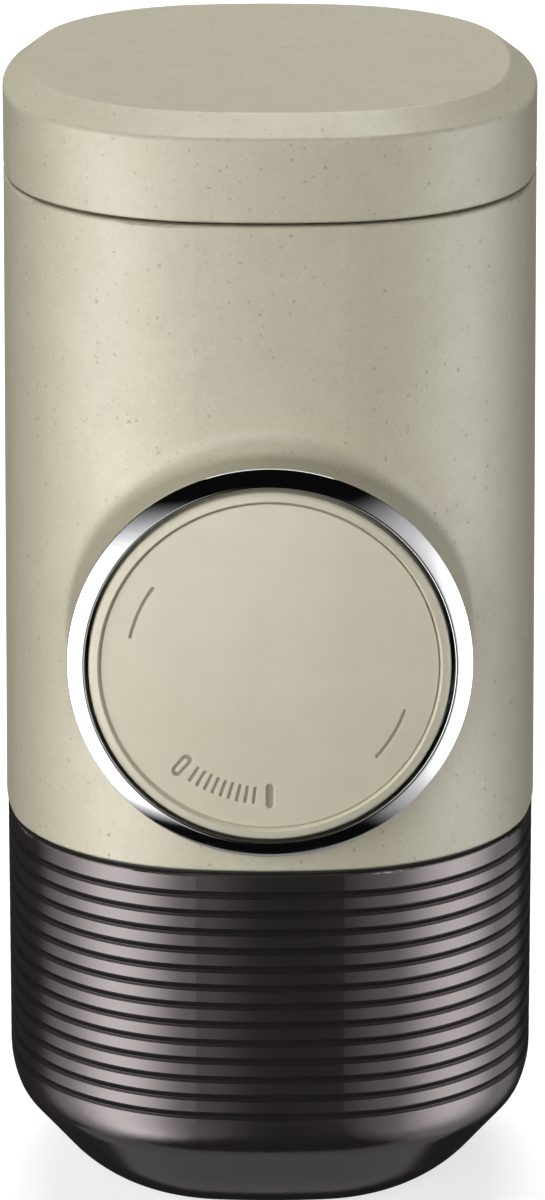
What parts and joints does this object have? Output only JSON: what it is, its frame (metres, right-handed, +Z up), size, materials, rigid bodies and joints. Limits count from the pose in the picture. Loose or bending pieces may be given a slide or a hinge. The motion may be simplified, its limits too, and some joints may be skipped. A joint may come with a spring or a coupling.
{
  "type": "handheld manual espresso maker",
  "caption": "Pocket coffee maker: a hand pump with a round push button on its front, water tank and lid above, capsule head below, standing on a ribbed cup.",
  "frame": {"origin": "centre of the cup's flat base", "axes": "+Z up, out of the lid; -Y out of the push button on the front; +X to the right as seen from the front"},
  "size_m": [0.0566, 0.0676, 0.1221],
  "materials": {
    "speckled_shell": "satin, fine dark specks",
    "button_plastic": "satin",
    "smoky_cup": "gloss",
    "bezel_chrome": "polished",
    "dark_plastic": "satin",
    "pump_plastic": "satin",
    "tank_plastic": "satin, smoke tinted",
    "seal_rubber": "matt",
    "silicone": "matt",
    "steel": "turned",
    "spring_steel": "drawn"
  },
  "bodies": {
    "cup": {"cup": "smoky_cup"},
    "outlet_head": {"outlet_head": "dark_plastic", "spout": "silicone", "base_plate": "steel"},
    "cage": {"capsule_cage": "dark_plastic"},
    "machine": {"body_shell": "speckled_shell", "bezel_ring": "bezel_chrome", "lower_collar": "dark_plastic", "cup_seal": "seal_rubber", "group_head": "dark_plastic", "group_gasket": "silicone", "needle_plate": "steel", "channel_plug": "steel", "pump_block": "pump_plastic", "outlet_seal": "silicone", "tank_seal": "silicone", "guide_bush": "tank_plastic", "return_spring": "spring_steel", "inlet_seat": "pump_plastic", "inlet_spring": "spring_steel", "inlet_filter": "steel", "outlet_retainer": "pump_plastic", "outlet_spring": "spring_steel", "tank_liner": "tank_plastic", "body_screws": "steel", "group_screws": "steel", "pump_screws": "steel"},
    "inlet_ball": {"inlet_ball": "steel"},
    "outlet_ball": {"outlet_ball": "steel"},
    "piston": {"piston_rod": "steel", "piston_seal": "seal_rubber", "head_screw": "steel"},
    "button": {"piston_head": "button_plastic", "button_face": "button_plastic"},
    "lid_seal": {"lid_gasket": "silicone"},
    "lid": {"lid_shell": "speckled_shell", "lid_insert": "dark_plastic", "vent_valve": "silicone"}
  },
  "joints": [
    {"name": "cup_lift", "type": "slide", "parent": "cup", "child": "machine", "axis": [0, 0, 1], "range_m": [0, 0.045]},
    {"name": "head_turn", "type": "hinge", "parent": "machine", "child": "cage", "pos_m": [0, 0, 0.0384], "axis": [0, 0, -1], "range_deg": [0, 90]},
    {"name": "head_drop", "type": "slide", "parent": "cage", "child": "outlet_head", "axis": [0, 0, -1], "range_m": [0, 0.003]},
    {"name": "piston_stroke", "type": "slide", "parent": "machine", "child": "piston", "axis": [0, -1, 0], "range_m": [0, 0.014], "deforming": ["return_spring"]},
    {"name": "button_turn", "type": "hinge", "parent": "piston", "child": "button", "pos_m": [0, -0.03, 0.0669], "axis": [0, -1, 0], "range_deg": [0, 40.5]},
    {"name": "inlet_ball_lift", "type": "slide", "parent": "machine", "child": "inlet_ball", "axis": [0, 0, -1], "range_m": [0, 0.001], "stiffness_N_per_m": 20, "springref_m": -0.001, "deforming": ["inlet_spring"]},
    {"name": "outlet_ball_lift", "type": "slide", "parent": "machine", "child": "outlet_ball", "axis": [0, 0, -1], "range_m": [0, 0.001], "stiffness_N_per_m": 20, "springref_m": -0.001, "deforming": ["outlet_spring"]},
    {"name": "lid_lift", "type": "slide", "parent": "machine", "child": "lid_seal", "axis": [0, 0, 1], "range_m": [0, 0.012]},
    {"name": "lid_turn", "type": "hinge", "parent": "lid_seal", "child": "lid", "pos_m": [0, 0, 0.114], "axis": [0, 0, 1], "range_deg": [0, 360]}
  ],
  "couplings": [
    {"joint": "head_drop", "follows": "head_turn", "m_per_rad": 0.0019099},
    {"joint": "lid_lift", "follows": "lid_turn", "m_per_rad": 0.0019099}
  ]
}
